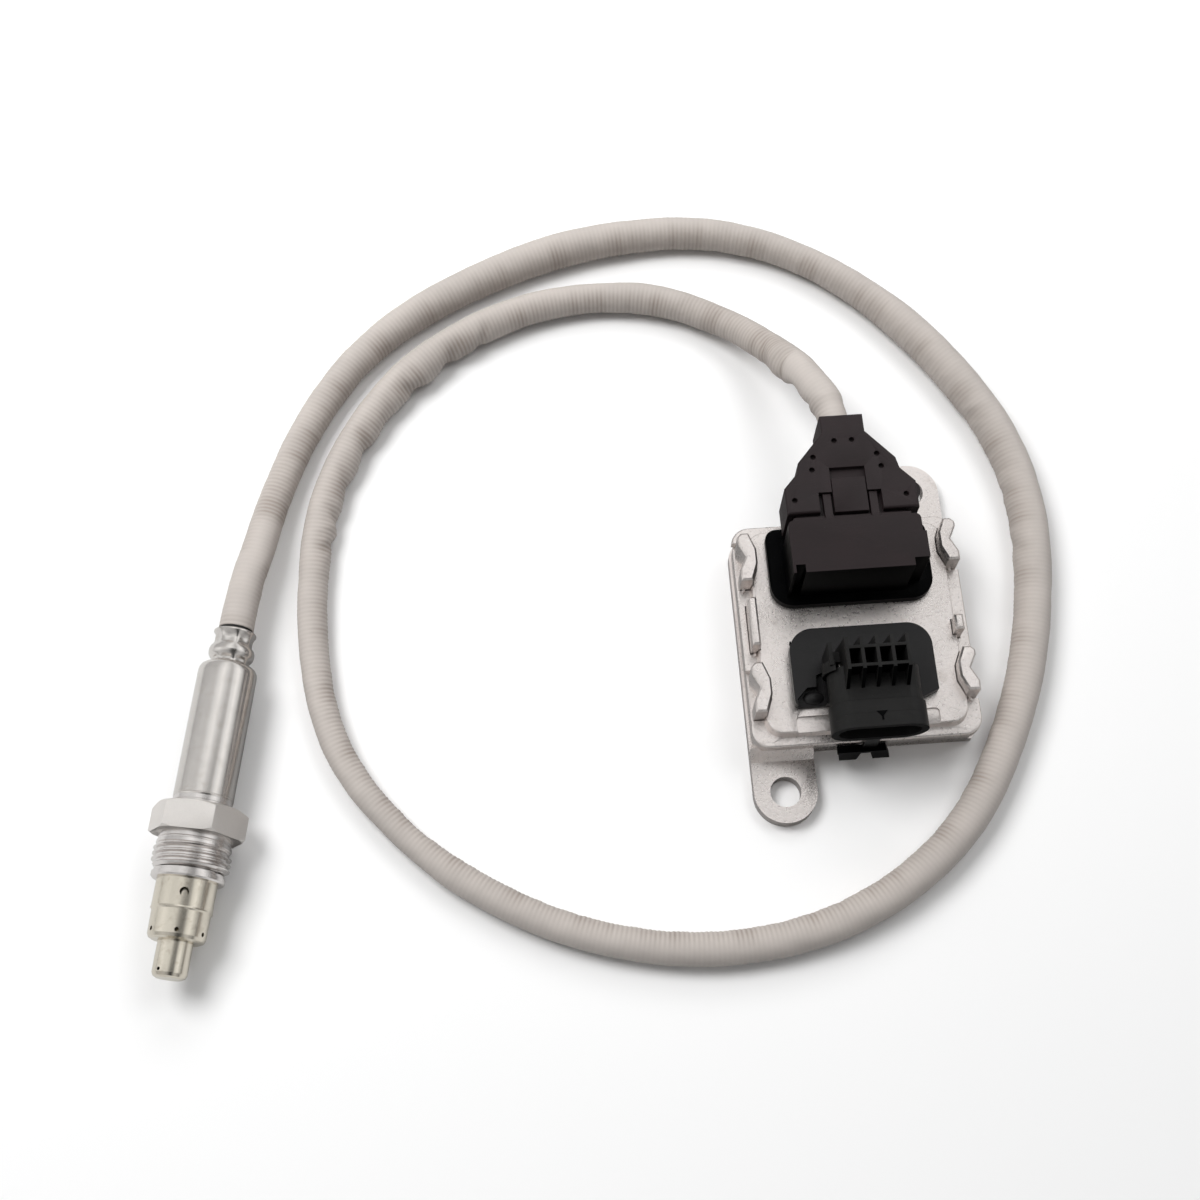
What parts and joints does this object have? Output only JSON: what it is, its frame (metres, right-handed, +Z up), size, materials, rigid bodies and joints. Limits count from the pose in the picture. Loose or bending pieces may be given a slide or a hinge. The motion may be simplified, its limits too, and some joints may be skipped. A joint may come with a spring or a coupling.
{
  "type": "nitrogen oxide sensor",
  "caption": "Exhaust gas probe with a union nut, joined by a long looped hose to a flat cast control unit with a latched plug and an open vehicle connector.",
  "frame": {"origin": "middle of the control unit's flat base, which lies on the ground plane", "axes": "+Z up off the base, +Y from the vehicle connector towards the cable plug, +X across the unit"},
  "size_m": [0.2467, 0.2231, 0.0374],
  "materials": {
    "die_cast_aluminium": "grainy as-cast grey",
    "black_plastic": "matt black, glass-filled",
    "board_laminate": "green solder mask",
    "component_case": "matt moulded black",
    "capacitor_can": "bright drawn can",
    "seal_rubber": "soft black",
    "tinned_contact": "tin plated, satin",
    "wire_insulation": "smooth",
    "hose_jacket": "warm light grey, finely ribbed",
    "bright_steel": "bright, machined",
    "tube_steel": "satin with a warm tint",
    "spring_steel": "bright",
    "white_ceramic": "dense and smooth",
    "packed_powder": "pressed, chalky"
  },
  "bodies": {
    "sensor": {"lower_housing": "die_cast_aluminium", "cover_plate": "die_cast_aluminium", "cover_seal": "seal_rubber", "circuit_board": "board_laminate", "board_screws": "bright_steel", "processor_chip": "component_case", "driver_chip": "component_case", "bus_chip": "component_case", "buffer_capacitors": "capacitor_can", "choke_coil": "component_case", "thermal_pad": "seal_rubber", "vehicle_header": "black_plastic", "vehicle_header_pins": "tinned_contact", "cable_header": "black_plastic", "cable_header_pins": "tinned_contact", "plug_body": "black_plastic", "plug_seal": "seal_rubber", "plug_terminals": "tinned_contact", "wire_seal": "seal_rubber", "wire_cover_top": "black_plastic", "wire_cover_bottom": "black_plastic", "plug_wires": "wire_insulation", "hose": "hose_jacket", "grommet": "seal_rubber", "outer_sleeve": "bright_steel", "probe_body": "bright_steel", "outer_protection_tube": "tube_steel", "inner_protection_tube": "tube_steel", "sensing_element": "white_ceramic", "lower_insulator": "white_ceramic", "powder_ring": "packed_powder", "upper_insulator": "white_ceramic", "contact_holder": "white_ceramic", "contact_springs": "spring_steel", "probe_wires": "wire_insulation"},
    "union_nut": {"union_nut": "bright_steel"}
  },
  "joints": [
    {"name": "nut_spin", "type": "hinge", "parent": "sensor", "child": "union_nut", "pos_m": [-0.17537, -0.04386, 0.011], "axis": [-0.1723, -0.985, 0], "continuous": true}
  ]
}
